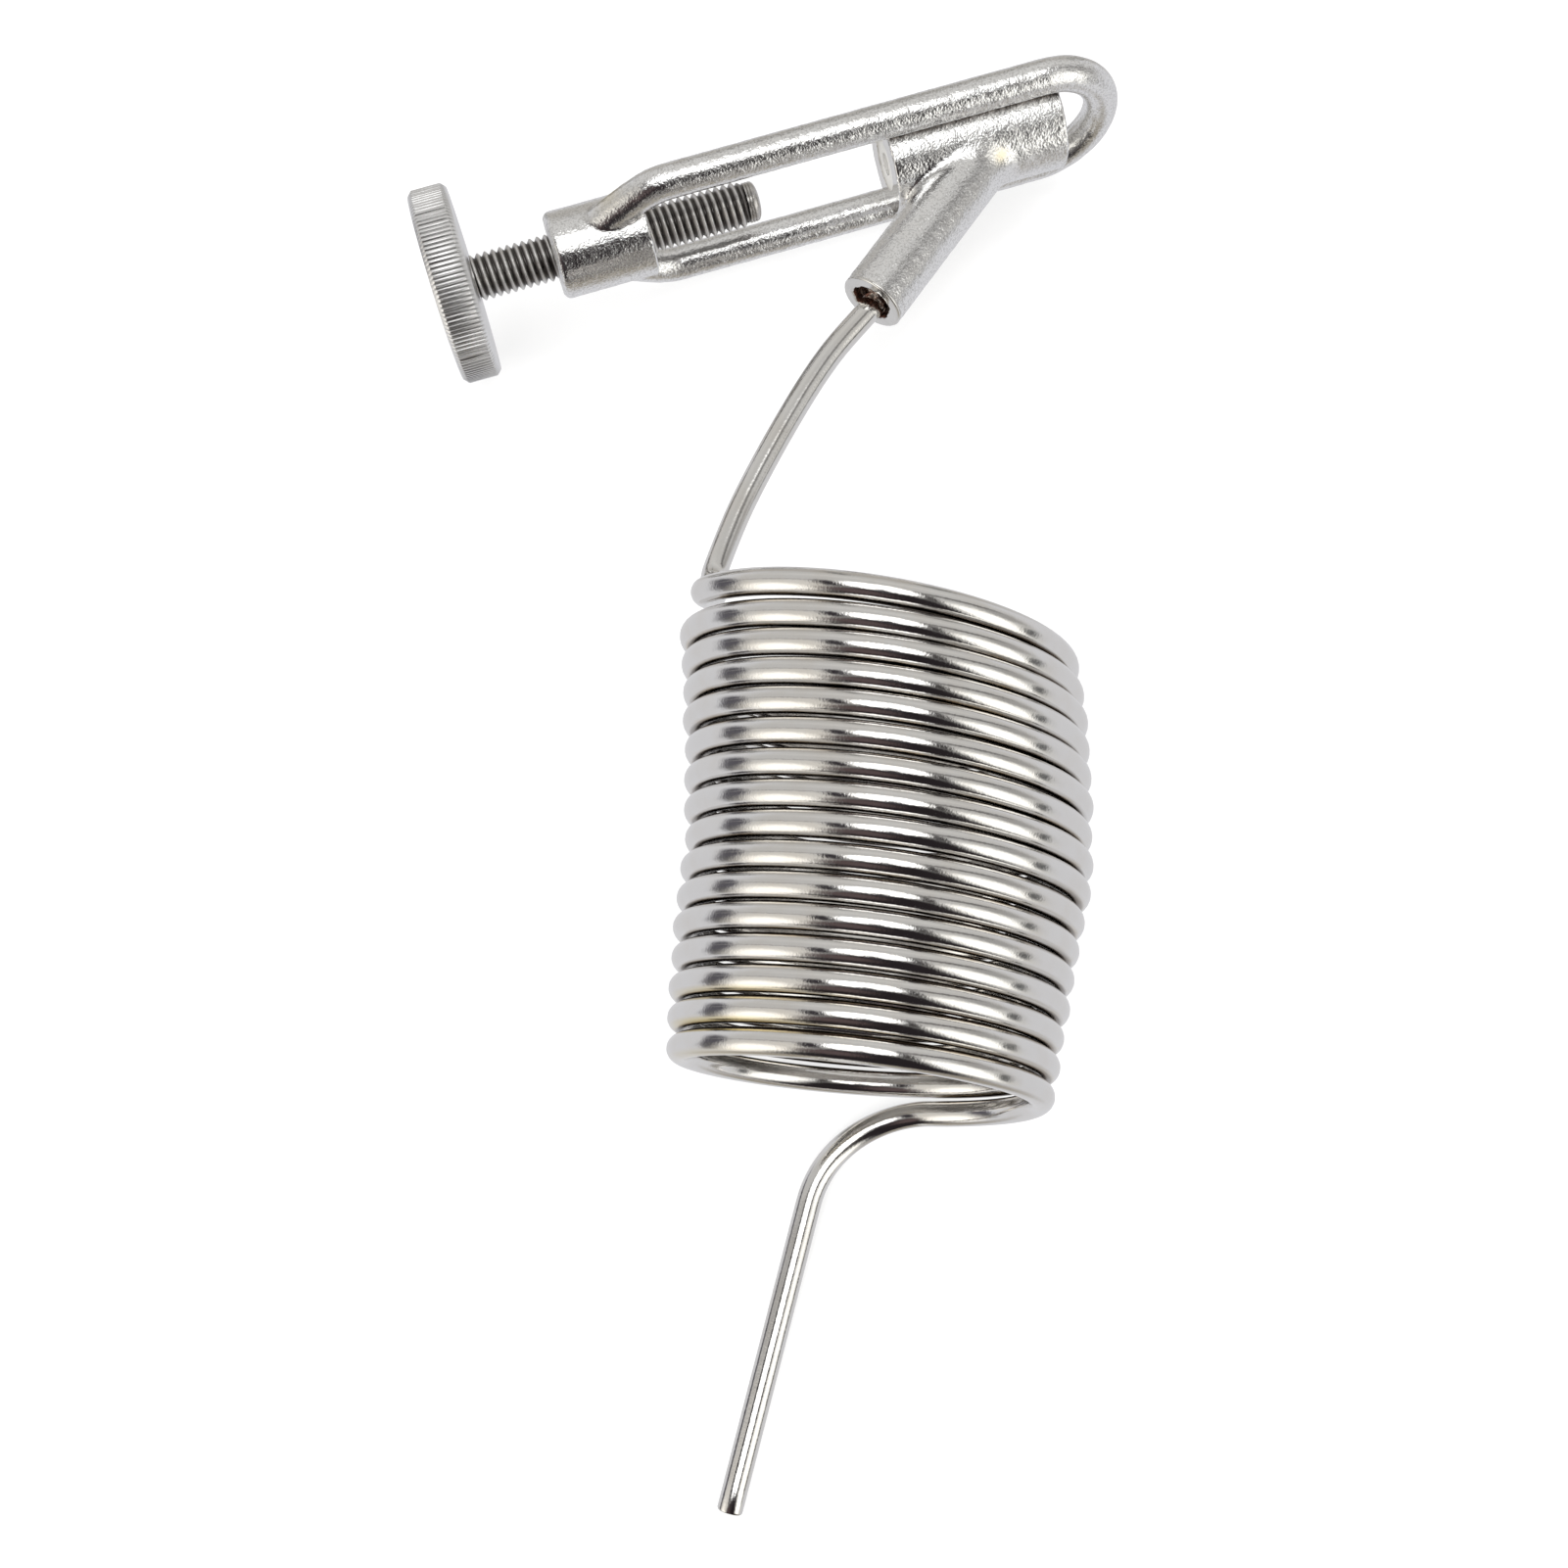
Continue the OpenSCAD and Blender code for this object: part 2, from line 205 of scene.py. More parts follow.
def mesh_from_field(field, low, high, h):
    """Quads on the zero level, with vertices pulled onto sharp edges."""
    coarse = 4
    shape = (np.ceil((high - low) / (h * coarse)).astype(int)) * coarse + 1
    blocks = (shape - 1) // coarse
    axes = [low[i] + h * coarse * (np.arange(blocks[i]) + 0.5) for i in range(3)]
    centres = np.stack(np.meshgrid(*axes, indexing="ij"), -1).reshape(-1, 3)
    at_centre = field(centres).reshape(blocks)
    near = np.abs(at_centre) < h * coarse * 1.25
    values = np.repeat(np.repeat(np.repeat(np.sign(at_centre) * 1e3, coarse, 0), coarse, 1), coarse, 2)
    values = np.pad(values, ((0, 1),) * 3, mode="edge").astype(np.float32)
    todo = np.zeros(values.shape, bool)
    for dx in range(coarse + 1):
        for dy in range(coarse + 1):
            for dz in range(coarse + 1):
                view = todo[dx:dx + coarse * blocks[0]:coarse, dy:dy + coarse * blocks[1]:coarse,
                            dz:dz + coarse * blocks[2]:coarse]
                view |= near
    index = np.argwhere(todo)
    values[todo] = np.concatenate([field(low + h * part) for part in np.array_split(index, 12)])
    inside = values < 0
    corners = [(i, j, k) for i in (0, 1) for j in (0, 1) for k in (0, 1)]
    n = np.array(values.shape) - 1
    count = sum(inside[i:i + n[0], j:j + n[1], k:k + n[2]].astype(np.uint8) for i, j, k in corners)
    active = (count > 0) & (count < 8)
    cells = np.argwhere(active)
    number = np.full(active.shape, -1, np.int64)
    number[active] = np.arange(len(cells))

    # crossing points and their normals, one per grid edge
    sums = np.zeros((len(cells), 3))
    hits = np.zeros(len(cells))
    normals, offsets, owners = [], [], []
    quads = []
    for axis in range(3):
        step = np.eye(3, dtype=int)[axis]
        size = [values.shape[i] - step[i] for i in range(3)]
        a = values[:size[0], :size[1], :size[2]]
        b = values[step[0]:, step[1]:, step[2]:]
        crossing = (a < 0) != (b < 0)
        edges = np.argwhere(crossing)
        va, vb = a[crossing].astype(float), b[crossing].astype(float)
        t = va / (va - vb)
        points = low + h * (edges + t[:, None] * step)
        slope = unit(gradient(field, points))
        others = [i for i in range(3) if i != axis]
        around = []
        for du, dv in ((0, 0), (1, 0), (1, 1), (0, 1)):
            cell = edges.copy()
            cell[:, others[0]] -= du
            cell[:, others[1]] -= dv
            ids = number[tuple(np.clip(cell, 0, np.array(number.shape) - 1).T)]
            around.append(ids)
            np.add.at(sums, ids, points)
            np.add.at(hits, ids, 1)
            normals.append(slope)
            offsets.append(points)
            owners.append(ids)
        quad = np.stack(around, -1)
        flip = (va < 0) if axis != 1 else (va >= 0)
        quad[flip] = quad[flip][:, ::-1]
        quads.append(quad)
    mean = sums / hits[:, None]
    normals, offsets, owners = map(np.concatenate, (normals, offsets, owners))
    residual = np.einsum("ij,ij->i", normals, offsets - mean[owners])
    ata = np.zeros((len(cells), 3, 3))
    atb = np.zeros((len(cells), 3))
    np.add.at(ata, owners, normals[:, :, None] * normals[:, None, :])
    np.add.at(atb, owners, normals * residual[:, None])
    ata += 0.12 * np.eye(3)
    shift = np.linalg.solve(ata, atb[:, :, None])[:, :, 0]
    limit = 0.9 * h
    length = np.linalg.norm(shift, axis=1, keepdims=True)
    vertices = mean + shift * np.minimum(1, limit / np.maximum(length, 1e-9))
    return vertices, np.concatenate(quads)


# ---------------------------------------------------------------- node helpers
class Shader:
    """Short calls for building a material's nodes."""

    def __init__(self, name, colour, metallic, roughness):
        self.material = bpy.data.materials.new(name)
        self.material.use_nodes = True
        self.tree = self.material.node_tree
        self.bsdf = self.tree.nodes["Principled BSDF"]
        self.bsdf.inputs["Base Color"].default_value = (*colour, 1)
        self.bsdf.inputs["Metallic"].default_value = metallic
        self.bsdf.inputs["Roughness"].default_value = roughness
        self.coords = self.node("ShaderNodeTexCoord").outputs["Object"]

    def node(self, kind, **inputs):
        node = self.tree.nodes.new(kind)
        for key, value in inputs.items():
            self.put(node, key.replace("_", " "), value)
        return node

    def put(self, node, key, value):
        socket = node.inputs[int(key)] if key.isdigit() else node.inputs[key]
        if isinstance(value, bpy.types.NodeSocket):
            self.tree.links.new(value, socket)
        else:
            socket.default_value = value

    def noise(self, size_mm, detail=2.0, rough=0.5, stretch=None, distortion=0.0):
        vector = self.coords
        if stretch:
            scale = self.node("ShaderNodeVectorMath", **{"0": vector, "1": stretch})
            scale.operation = "MULTIPLY"
            vector = scale.outputs[0]
        node = self.node("ShaderNodeTexNoise", Vector=vector, Scale=1 / (size_mm * MM), Detail=detail,
                         Roughness=rough, Distortion=distortion)
        return node.outputs["Fac"]

    def remap(self, value, a, b, c, d):
        node = self.node("ShaderNodeMapRange", Value=value, From_Min=a, From_Max=b, To_Min=c, To_Max=d)
        return node.outputs["Result"]

    def math(self, kind, a, b):
        node = self.node("ShaderNodeMath", **{"0": a, "1": b})
        node.operation = kind
        return node.outputs[0]

    def mix(self, factor, a, b):
        node = self.tree.nodes.new("ShaderNodeMix")
        node.data_type = "RGBA"
        for key, value in (("0", factor), ("6", a), ("7", b)):
            plain = isinstance(value, bpy.types.NodeSocket) or key == "0"
            self.put(node, key, value if plain else (*value, 1))
        return node.outputs[2]

    def attribute(self, name):
        node = self.tree.nodes.new("ShaderNodeAttribute")
        node.attribute_name = name
        return node.outputs["Fac"]

    def bump(self, height, distance_mm, strength=1.0):
        node = self.node("ShaderNodeBump", Height=height, Distance=distance_mm * MM, Strength=strength)
        current = self.bsdf.inputs["Normal"]
        if current.is_linked:
            self.put(node, "Normal", current.links[0].from_socket)
        self.put(self.bsdf, "Normal", node.outputs["Normal"])


def cast_nickel():
    s = Shader("cast_nickel", (0.80, 0.79, 0.77), 1.0, 0.2)
    s.bump(s.noise(0.48, 1.5, 0.55), 0.085)
    s.put(s.bsdf, "Roughness", s.remap(s.noise(3.0), 0.3, 0.7, 0.16, 0.23))
    stain = s.remap(s.noise(5.0, 3), 0.45, 0.75, 0.0, 1.0)
    base = s.mix(stain, (0.91, 0.91, 0.91), (0.88, 0.87, 0.855))
    base = s.mix(s.remap(s.noise(0.42, 1, 0.5), 0.5, 0.62, 0, 1), base, (0.74, 0.735, 0.73))
    base = s.mix(s.attribute("tan"), base, (0.78, 0.69, 0.5))
    # painted shade with some tarnish: the creases turn near-black brown
    crease_shade_and_tarnish = s.math("MULTIPLY", s.attribute("crease_shade_and_tarnish"), s.remap(s.noise(1.2), 0.3, 0.6, 0.6, 1.0))
    s.put(s.bsdf, "Base Color", s.mix(crease_shade_and_tarnish, base, (0.13, 0.095, 0.07)))
    return s.material


def machined_nickel():
    s = Shader("machined_nickel", (0.80, 0.79, 0.77), 1.0, 0.14)
    s.put(s.bsdf, "Roughness", s.remap(s.noise(1.5), 0.3, 0.7, 0.1, 0.22))
    s.put(s.bsdf, "Base Color", s.mix(s.noise(2.5, 3), (0.82, 0.81, 0.79), (0.74, 0.73, 0.71)))
    s.bump(s.noise(0.5, 2), 0.012)
    return s.material


def socket_metal():
    s = Shader("socket_stain", (0.24, 0.12, 0.09), 0.85, 0.35)
    dark = s.remap(s.noise(1.2, 3), 0.35, 0.65, 0, 1)
    s.put(s.bsdf, "Base Color", s.mix(dark, (0.2, 0.09, 0.065), (0.07, 0.055, 0.045)))
    s.bump(s.noise(0.4, 2), 0.05)
    return s.material


def tube_nickel():
    s = Shader("tube_nickel", (0.8, 0.79, 0.775), 1.0, 0.07)
    s.bump(s.noise(0.4, 3), 0.017)
    s.bump(s.noise(3.5, 2), 0.03)
    s.put(s.bsdf, "Roughness", s.remap(s.noise(2.0, 3), 0.3, 0.75, 0.045, 0.13))
    side = s.attribute("groove")
    patches = s.remap(s.noise(14.0, 3, 0.6), 0.45, 0.68, 0.0, 1.0)
    tarnish = s.math("MULTIPLY", side, s.math("MAXIMUM", patches, s.attribute("old")))
    base = s.mix(s.remap(s.noise(6.0, 3), 0.4, 0.8, 0, 1), (0.82, 0.81, 0.795), (0.79, 0.765, 0.73))
    base = s.mix(tarnish, base, (0.52, 0.42, 0.28))
    base = s.mix(s.attribute("gold"), base, (0.74, 0.62, 0.32))
    # painted shade: near-black where a turn touches its neighbour
    s.put(s.bsdf, "Base Color", s.mix(s.attribute("deep"), base, (0.1, 0.075, 0.055)))
    return s.material


def tube_inside():
    s = Shader("tube_inside", (0.1, 0.085, 0.07), 0.9, 0.45)
    s.put(s.bsdf, "Base Color", s.mix(s.noise(1.0, 3), (0.13, 0.11, 0.09), (0.05, 0.045, 0.04)))
    return s.material


def screw_steel():
    s = Shader("screw_steel", (0.56, 0.54, 0.52), 1.0, 0.2)
    crest = s.mix(s.remap(s.noise(2.2, 4, 0.6), 0.35, 0.7, 0, 1), (0.8, 0.79, 0.775), (0.64, 0.62, 0.6))
    # painted shade: the thread roots darkened to near-black
    s.put(s.bsdf, "Base Color", s.mix(s.attribute("depth"), crest, (0.13, 0.12, 0.115)))
    s.put(s.bsdf, "Roughness", s.remap(s.noise(0.7, 3), 0.3, 0.7, 0.26, 0.36))
    s.bump(s.noise(0.8, 2), 0.005)
    return s.material


def tip_steel():
    s = Shader("tip_steel", (0.62, 0.61, 0.59), 1.0, 0.24)
    s.put(s.bsdf, "Base Color", s.mix(s.noise(1.5, 3), (0.66, 0.65, 0.63), (0.52, 0.5, 0.48)))
    s.bump(s.noise(0.15, 2, stretch=(6, 1, 1)), 0.008)
    return s.material


def wheel_metal():
    s = Shader("wheel_metal", (0.72, 0.71, 0.695), 1.0, 0.4)
    skin = s.mix(s.noise(3.0, 4, 0.6), (0.94, 0.94, 0.945), (0.86, 0.86, 0.86))
    # painted shade: the knurl valleys darkened
    s.put(s.bsdf, "Base Color", s.mix(s.attribute("valley_shade"), skin, (0.4, 0.395, 0.39)))
    s.put(s.bsdf, "Roughness", s.remap(s.noise(1.2, 3), 0.3, 0.7, 0.28, 0.4))
    s.bump(s.noise(0.5, 3), 0.012)
    return s.material


def seal_plastic():
    s = Shader("seal_white", (0.7, 0.69, 0.66), 0.0, 0.35)
    s.put(s.bsdf, "Base Color", s.mix(s.noise(2.0, 3), (0.72, 0.71, 0.68), (0.62, 0.61, 0.58)))
    s.bump(s.noise(0.4), 0.01)
    return s.material


def braze_metal():
    s = Shader("braze_filler", (0.55, 0.5, 0.44), 1.0, 0.24)
    flux = s.remap(s.noise(0.9, 3), 0.4, 0.6, 0, 1)
    s.put(s.bsdf, "Base Color", s.mix(flux, (0.42, 0.37, 0.33), (0.13, 0.065, 0.05)))
    s.bump(s.noise(0.6, 2), 0.02)
    return s.material


CAST, MACHINED, SOCKET = cast_nickel(), machined_nickel(), socket_metal()
TUBE, TUBE_INSIDE = tube_nickel(), tube_inside()
SCREW, TIP, WHEEL, SEAL, BRAZE = screw_steel(), tip_steel(), wheel_metal(), seal_plastic(), braze_metal()


# ---------------------------------------------------------------- yoke
def build_yoke():
    grid = 0.33
    low, high = np.array([-1.0, -38.4, -19.0]), np.array([124.0, 11.6, 19.0])
    points, quads = mesh_from_field(yoke_field, low, high, grid)
    centre = points[quads].mean(axis=1)
    x, radial = centre[:, 0], np.hypot(centre[:, 1], centre[:, 2])
    q = centre - np.array([BRANCH_MEET, 0, 0])
    along = q @ BRANCH_OUT
    around = np.linalg.norm(q - along[:, None] * BRANCH_OUT, axis=1)
    normal = np.cross(points[quads[:, 2]] - points[quads[:, 0]], points[quads[:, 3]] - points[quads[:, 1]])
    normal = normal / np.maximum(np.linalg.norm(normal, axis=1, keepdims=True), 1e-12)
    flat_x = np.abs(normal[:, 0]) > 0.9
    machined = (flat_x & (x < 0.3)) | (flat_x & (np.abs(x - COLLAR_LEN) < 0.3) & (radial < COLLAR_R))
    machined |= flat_x & (np.abs(x - SEAT_AT) < 0.3)
    machined |= flat_x & (np.abs(x - BARREL_END) < 0.3) & (radial < BARREL_R)
    machined |= (radial < WASHER_R + 0.2) & (x > -1) & (x < SEAT_AT + 2.2)
    slots = machined.astype(int)
    slots[(along > BRANCH_LEN - SOCKET_DEPTH - 0.3) & (around < SOCKET_R + 0.8)] = 2
    yoke = add_mesh("yoke_casting", from_yoke(points), quads, [CAST, MACHINED, SOCKET], "yoke",
                    ["yoke_body"], slots)
    # painted shade with some tarnish, darkening the creases where the rods meet the barrel and collar
    up = np.abs(points[:, 2])
    rod = np.hypot(points[:, 1], up - LOOP_R) - ROD_R
    barrel = np.hypot(points[:, 1], points[:, 2]) - BARREL_R
    gap = np.maximum(np.abs(rod), np.abs(barrel))
    inside = (points[:, 0] > SEAT_AT + 0.5) & (points[:, 0] < BARREL_END - 0.2)
    crease_shade_and_tarnish = np.where(inside, np.clip(1.3 - gap / 0.8, 0, 1), 0)
    collar_skin = np.abs(np.hypot(points[:, 1], points[:, 2]) - COLLAR_R)
    to_neck = [np.hypot(points[:, 1], np.hypot(points[:, 0] - a, up - b)) for a, b in neck_line()]
    neck = np.min(to_neck, axis=0) - ROD_R
    seam = np.clip(1 - np.maximum(collar_skin, np.abs(neck)) / 0.55, 0, 1)
    seam = np.where(points[:, 0] < COLLAR_LEN - 1, seam, 0)
    point_attribute(yoke, "crease_shade_and_tarnish", np.maximum(crease_shade_and_tarnish, 0.6 * seam))
    # tan stains: centre and radius
    spots = ((13.5, 3.0, 12.5, 3.2), (93.4, -9.5, 5.2, 1.5))
    tan = sum(np.exp(-np.sum(((points - np.array(c[:3])) / c[3]) ** 2, axis=1)) for c in spots)
    point_attribute(yoke, "tan", np.clip(tan, 0, 1) * 0.9)
    sharpen(yoke, 38)


build_yoke()


def build_mouth():
    """The branch's turned end, with a rim that filler has made uneven."""
    count = 144
    turn = 2 * math.pi * np.arange(count) / count
    wave = (0.17 * np.sin(3 * turn + 1.0) + 0.12 * np.sin(7 * turn) + 0.07 * np.sin(13 * turn + 2)
            + 0.04 * np.sin(29 * turn))
    side = np.cross(BRANCH_OUT, np.array([0, 0, 1.0]))
    # (distance behind the face, radius, share of the wave)
    profile = [(MOUTH_LEN + 0.1, BRANCH_R - 0.03, 0), (0.62, BRANCH_R - 0.03, 0), (0.55, BRANCH_R - 0.12, 0),
               (0.48, BRANCH_R - 0.02, 0), (0.3, BRANCH_R, 0), (0.08, BRANCH_R - 0.16, 0),
               (0, BRANCH_R - 0.4, 0),
               (0.05, BRANCH_R - 0.9, 0), (0, BRANCH_R - 1.3, 0), (0.02, SOCKET_R + 0.45, 0.6),
               (0.12, SOCKET_R + 0.12, 1), (0.35, SOCKET_R, 1), (1.0, SOCKET_R, 0.5),
               (MOUTH_LEN + 0.1, SOCKET_R, 0), (8.6, SOCKET_R, 0)]
    rows = []
    for back, r, share in profile:
        rr = r + share * wave
        ring = (rr * np.cos(turn))[:, None] * side + (rr * np.sin(turn))[:, None] * np.array([0, 0, 1.0])
        rows.append(np.array([BRANCH_MEET, 0, 0]) + (BRANCH_LEN - back) * BRANCH_OUT + ring)
    faces, slots = [], []
    for i in range(len(rows) - 1):
        for k in range(count):
            n = (k + 1) % count
            faces.append((i * count + k, i * count + n, (i + 1) * count + n, (i + 1) * count + k))
            slots.append(0 if i < 1 else 1 if i < 10 else 2)
    piece = add_mesh("branch_mouth", from_yoke(np.concatenate(rows)), faces, [CAST, MACHINED, SOCKET], "yoke",
                     ["yoke_body"], slots)
    point_attribute(piece, "crease_shade_and_tarnish", np.zeros(len(piece.data.vertices)))
    point_attribute(piece, "tan", np.zeros(len(piece.data.vertices)))
    sharpen(piece, 50)


build_mouth()


# ---------------------------------------------------------------- turned pieces along the screw
def lathe(profile, count, radius=None):
    """Rings for a profile of (x, r) pairs; radius(x, r, angles) may shape each ring."""
    angles = 2 * math.pi * np.arange(count) / count
    points, faces = [], []
    for x, r in profile:
        rr = np.full(count, float(r)) if radius is None else radius(x, r, angles)
        points.append(np.stack([np.full(count, float(x)), rr * np.cos(angles), rr * np.sin(angles)], -1))
    for i in range(len(profile) - 1):
        for k in range(count):
            n = (k + 1) % count
            faces.append((i * count + k, i * count + n, (i + 1) * count + n, (i + 1) * count + k))
    return np.concatenate(points), faces


SCREW_R, PITCH, THREAD_DEPTH = 4.7625, 1.5875, 0.87
WHEEL_FACE, WHEEL_BACK, WHEEL_R = -16.9, -24.9, 19.8
SCREW_END = 41.15


def build_screw():
    count = 64
    # rounded crest, V groove: share of pitch, share of depth
    shape = [(0.0, 0.0), (0.07, 0.03), (0.14, 0.14), (0.3, 0.56), (0.46, 0.97), (0.54, 0.97), (0.7, 0.56),
             (0.86, 0.14), (0.93, 0.03)]
    start, end = WHEEL_FACE + 0.3, SCREW_END
    turns = int((end - start) / PITCH) + 3
    angles = 2 * math.pi * np.arange(count) / count
    rows = []
    for i in range(turns):
        for at, depth in shape:
            x = start + (i - 1 + at) * PITCH + PITCH * angles / (2 * math.pi)
            clipped = np.clip(x, start, end)
            r = SCREW_R - 0.02 - THREAD_DEPTH * depth
            fade = np.clip((end - clipped) / 1.1, 0, 1)
            r = np.minimum(r, SCREW_R - 0.02 - THREAD_DEPTH * (1 - fade))
            rows.append(np.stack([clipped, r * np.cos(angles), r * np.sin(angles)], -1))
    points = np.concatenate(rows)
    faces = []
    per_turn = len(shape)
    for i in range(len(rows) - 1):
        for k in range(count - 1):
            faces.append((i * count + k, i * count + k + 1, (i + 1) * count + k + 1, (i + 1) * count + k))
        # the last column joins the first one a whole turn further on
        j = i + per_turn
        if j + 1 < len(rows):
            faces.append((i * count + count - 1, j * count, (j + 1) * count, (i + 1) * count + count - 1))
    # spigot through the wheel, and the bored end that carries the tip
    extra, extra_faces = lathe([(WHEEL_BACK + 0.4, 0.01), (WHEEL_BACK + 0.4, 3.2), (WHEEL_BACK + 0.65, 3.6),
                                (WHEEL_FACE + 0.1, 3.6), (WHEEL_FACE + 0.1, 3.75), (start + 0.4, 3.75)], 48)
    faces += [tuple(len(points) + i for i in f) for f in extra_faces]
    points = np.concatenate([points, extra])
    end_cap, cap_faces = lathe([(end, 3.82), (end, 2.04), (end - 7.4, 2.04), (end - 7.4, 0.01)], 48)
    faces += [tuple(len(points) + i for i in f) for f in cap_faces]
    points = np.concatenate([points, end_cap])
    piece = add_mesh("clamp_screw_thread", from_yoke(points), faces, [SCREW], "screw",
                     ["clamp_screw"])
    # painted shade for the thread roots, from how deep a point lies in the thread
    depth = (SCREW_R - np.hypot(points[:, 1], points[:, 2])) / THREAD_DEPTH
    depth[len(rows) * count:] = 0
    point_attribute(piece, "depth", np.clip(depth * 1.3 - 0.1, 0, 1))
    sharpen(piece, 30)


def build_tip():
    head = SCREW_END + 0.15
    profile = [(head - 7, 0.01), (head - 7, 1.7), (head - 6.7, 2.0), (head, 2.0), (head, 3.9),
               (head + 0.12, 4.1), (head + 0.45, 4.1), (head + 0.6, 3.85), (head + 0.75, 4.1),
               (head + 1.05, 4.1), (head + 1.2, 3.88), (head + 1.35, 4.08), (head + 1.6, 4.05)]
    for k in range(1, 9):
        a = math.pi / 2 * k / 8
        profile.append((head + 1.6 + 1.2 * math.sin(a), 1.2 + 2.85 * math.cos(a) if k < 8 else 0.01))
    points, faces = lathe(profile, 72)
    piece = add_mesh("swivel_tip_dome", from_yoke(points), faces, [TIP], "tip", ["swivel_tip"])
    sharpen(piece, 35)


def build_wheel():
    knurls, fine = 130, 8
    tooth = np.array([0.0, 0.04, 0.0, 0.12, 0.6, 1.0, 0.6, 0.12])
    pattern = np.tile(tooth, knurls)
    strength = 1 + 0.25 * np.repeat(RNG.uniform(-1, 1, knurls), fine)

    def knurled(x, r, angles):
        deep = 0.0 if r < WHEEL_R - 0.75 else 0.3 * (r - WHEEL_R + 0.75) / 0.75
        return r - deep * pattern * strength

    inner = 3.6
    profile = [(WHEEL_BACK + 0.2, inner), (WHEEL_BACK, inner + 0.3), (WHEEL_BACK, 6.2),
               (WHEEL_BACK + 0.35, 6.6), (WHEEL_BACK + 0.35, 15.8), (WHEEL_BACK, 16.2),
               (WHEEL_BACK, WHEEL_R - 1.0), (WHEEL_BACK + 0.25, WHEEL_R - 0.75),
               (WHEEL_BACK + 0.85, WHEEL_R - 0.12), (WHEEL_BACK + 1.1, WHEEL_R),
               (WHEEL_FACE - 1.1, WHEEL_R), (WHEEL_FACE - 0.85, WHEEL_R - 0.12),
               (WHEEL_FACE - 0.25, WHEEL_R - 0.75), (WHEEL_FACE, WHEEL_R - 1.0), (WHEEL_FACE, 6.0),
               (WHEEL_FACE, inner + 0.3), (WHEEL_FACE - 0.2, inner)]
    points, faces = lathe(profile, knurls * fine, knurled)
    piece = add_mesh("knurled_wheel", from_yoke(points), faces, [WHEEL], "screw",
                     ["hand_wheel"])
    # painted shade in the knurl valleys
    rim = np.array([r > WHEEL_R - 0.5 for _, r in profile], dtype=float)
    point_attribute(piece, "valley_shade", np.clip(rim[:, None] * pattern[None, :], 0, 1).reshape(-1))
    sharpen(piece, 28)


build_screw()
build_tip()
build_wheel()


# ---------------------------------------------------------------- tube
TUBE_R, TUBE_BORE_R = 2.5, 1.6
COIL_R, COIL_PITCH, COIL_TURNS = 35.3, 5.41, 15.5
# centre, directions, bow, sway, taper and tilt: fitted to the coil's outline, then rounded
COIL_MID = np.array([-18.1, -23.6])
TURN_DIR, TURN_TWIST, STACK_DIR = -23.7, 1.3, -18.9
COIL_BOW, COIL_SWAY, COIL_TAPER = 3.2, 2.3, (1.2, 1.1)
TILT_MID, TILT_RATE = 2.6, 0.36
ENTER_ANGLE, LEAVE_ANGLE = 30.0, 62.0
LEG_FROM, LEG_TO = np.array([-46.7, -82.3, TUBE_R]), np.array([-78.1, -133.5, TUBE_R])
BEND_PULL = (9.0, 13.0)
TUBE_SINK = 1.5
# the first three were measured from the photograph and then moved, the others were given
INLET_ROUTE = [(4.9, 76.3, 25.2), (-7.8, 64.6, 25.9), (-20.4, 51.2, 26.6), (-29.2, 39.6, 27.8),
               (-31.0, 34.8, 31.6), (-31.7, 31.6, 38.5)]


def flat(degrees):
    a = np.radians(degrees)
    return np.stack([np.cos(a), np.sin(a), 0 * a], -1)


def spacing(turn):
    """How far the turns have been pushed along the coil: hand wound, the gaps are not all alike."""
    fade = np.clip(turn * 3, 0, 1) * np.clip((COIL_TURNS - turn) * 2, 0, 1)
    crowded = 0.3 * np.exp(-((turn - 1.4) / 1.3) ** 2) - 0.2 * np.exp(-((turn - 4.3) / 0.9) ** 2)
    return fade * (crowded + 0.07 * np.sin(2.1 * turn))


def drift(turn):
    """How far each turn sits off the coil's line, sideways."""
    fade = np.clip(turn * 2, 0, 1) * np.clip((COIL_TURNS - turn) * 2, 0, 1)
    return fade * (0.75 * np.exp(-((turn - 8.2) / 1.0) ** 2) - 0.5 * np.exp(-((turn - 3.6) / 1.6) ** 2)
                   + 0.1 * np.sin(2.7 * turn))


def coil_point(a):
    a = np.asarray(a, dtype=float)
    u = a / 360 - COIL_TURNS / 2
    w = u / (COIL_TURNS / 2)
    heading = TURN_DIR + TURN_TWIST * w
    across = flat(heading)
    along = np.stack([across[..., 1], -across[..., 0], 0 * a], -1)
    r = (COIL_R - COIL_TAPER[0] * w - COIL_TAPER[1] * w ** 2)[..., None]
    tilt = np.radians(TILT_MID + TILT_RATE * u)[..., None]
    rise = np.cos(tilt) * np.array([0, 0, 1.0]) - np.sin(tilt) * along
    s = math.radians(STACK_DIR)
    stack = np.array([math.sin(s), -math.cos(s), 0])
    mid = np.array([*COIL_MID, TUBE_R]) + r * np.cos(tilt) * np.array([0, 0, 1.0])
    mid = mid + (u * COIL_PITCH + spacing(a / 360))[..., None] * stack
    sideways = COIL_BOW * (1 - w ** 2) + COIL_SWAY * (w ** 3 - w) + drift(a / 360)
    mid = mid + sideways[..., None] * flat(TURN_DIR)
    turn = np.radians(a)[..., None]
    return mid + r * (np.sin(turn) * rise - np.cos(turn) * across)


def hermite(a, b, ta, tb, s):
    s = np.asarray(s)[:, None]
    return ((2 * s ** 3 - 3 * s ** 2 + 1) * a + (s ** 3 - 2 * s ** 2 + s) * ta
            + (3 * s ** 2 - 2 * s ** 3) * b + (s ** 3 - s ** 2) * tb)


